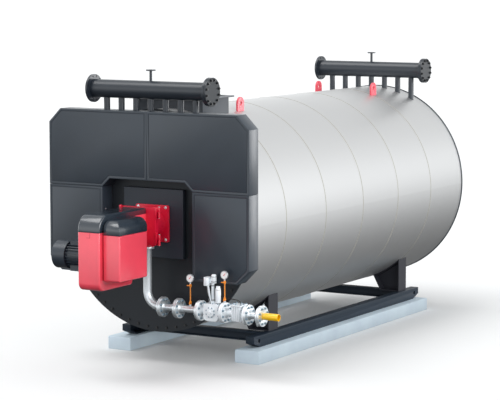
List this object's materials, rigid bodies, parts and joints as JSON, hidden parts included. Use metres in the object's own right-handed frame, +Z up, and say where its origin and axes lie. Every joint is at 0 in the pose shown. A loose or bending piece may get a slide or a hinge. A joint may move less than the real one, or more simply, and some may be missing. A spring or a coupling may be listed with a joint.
{
  "type": "thermal oil heater",
  "caption": "Horizontal thermal oil heater: insulated steel shell on saddles and a skid, front casing, gas burner on a hinged plate, gas train, oil headers and flue duct.",
  "frame": {"origin": "on the ground at the middle of the footprint box", "axes": "+Y from the burner end to the rear of the shell, +X to the gas train side, +Z up"},
  "size_m": [3.273, 7.335, 3.578],
  "materials": {
    "plinth_paint": "pale blue-grey paint",
    "skid_paint": "dark blue-grey paint",
    "saddle_paint": "near-black paint",
    "cladding": "brushed sheet",
    "slate_paint": "satin slate paint",
    "plate_red": "satin deep red paint",
    "steel": "bright steel",
    "burner_red": "gloss red paint",
    "black_cover": "gloss black moulding",
    "motor_grey": "grey paint",
    "galvanised": "zinc coated",
    "actuator_grey": "grey housing",
    "gas_yellow": "gas yellow paint",
    "cock_orange": "orange paint, white dial",
    "lead_black": "black sheath",
    "header_paint": "satin dark grey paint",
    "duct_paint": "grey paint",
    "lug_red": "red paint"
  },
  "bodies": {
    "heater": {"plinths": "plinth_paint", "skid_rail_left": "skid_paint", "skid_rail_right": "skid_paint", "cross_beams": "skid_paint", "saddle_legs": "saddle_paint", "cladding_rings": "cladding", "front_plate": "slate_paint", "rear_plate": "slate_paint", "rear_cover": "slate_paint", "casing_upper_left": "slate_paint", "casing_upper_right": "slate_paint", "casing_lower_left": "slate_paint", "casing_lower_right": "slate_paint", "burner_door": "slate_paint", "burner_mount_plate": "plate_red", "burner_head": "plate_red", "hinge_pins": "steel", "gas_down_pipe": "galvanised", "gas_spool_1": "galvanised", "gas_spool_2": "galvanised", "gas_valve": "galvanised", "valve_actuator": "actuator_grey", "valve_damper": "actuator_grey", "gas_filter": "galvanised", "gas_inlet_spool": "galvanised", "gas_inlet_pipe": "gas_yellow", "pressure_gauge_1": "cock_orange", "pressure_gauge_2": "cock_orange", "actuator_lead": "lead_black", "valve_lead": "lead_black", "header_front": "header_paint", "header_rear": "header_paint", "branches_front": "header_paint", "branches_rear": "header_paint", "blind_flange_front": "header_paint", "blind_flange_rear": "header_paint", "flue_duct": "duct_paint", "lifting_lugs": "lug_red"},
    "burner": {"swing_plate": "plate_red", "volute": "burner_red", "volute_cover": "black_cover", "air_box": "burner_red", "air_box_cover": "black_cover", "motor": "motor_grey", "motor_cowl": "motor_grey"}
  },
  "joints": [
    {"name": "burner_swing", "type": "hinge", "parent": "heater", "child": "burner", "pos_m": [0.0665, -2.655, 1.743], "axis": [0, 0, 1], "range_deg": [0, 80]}
  ]
}
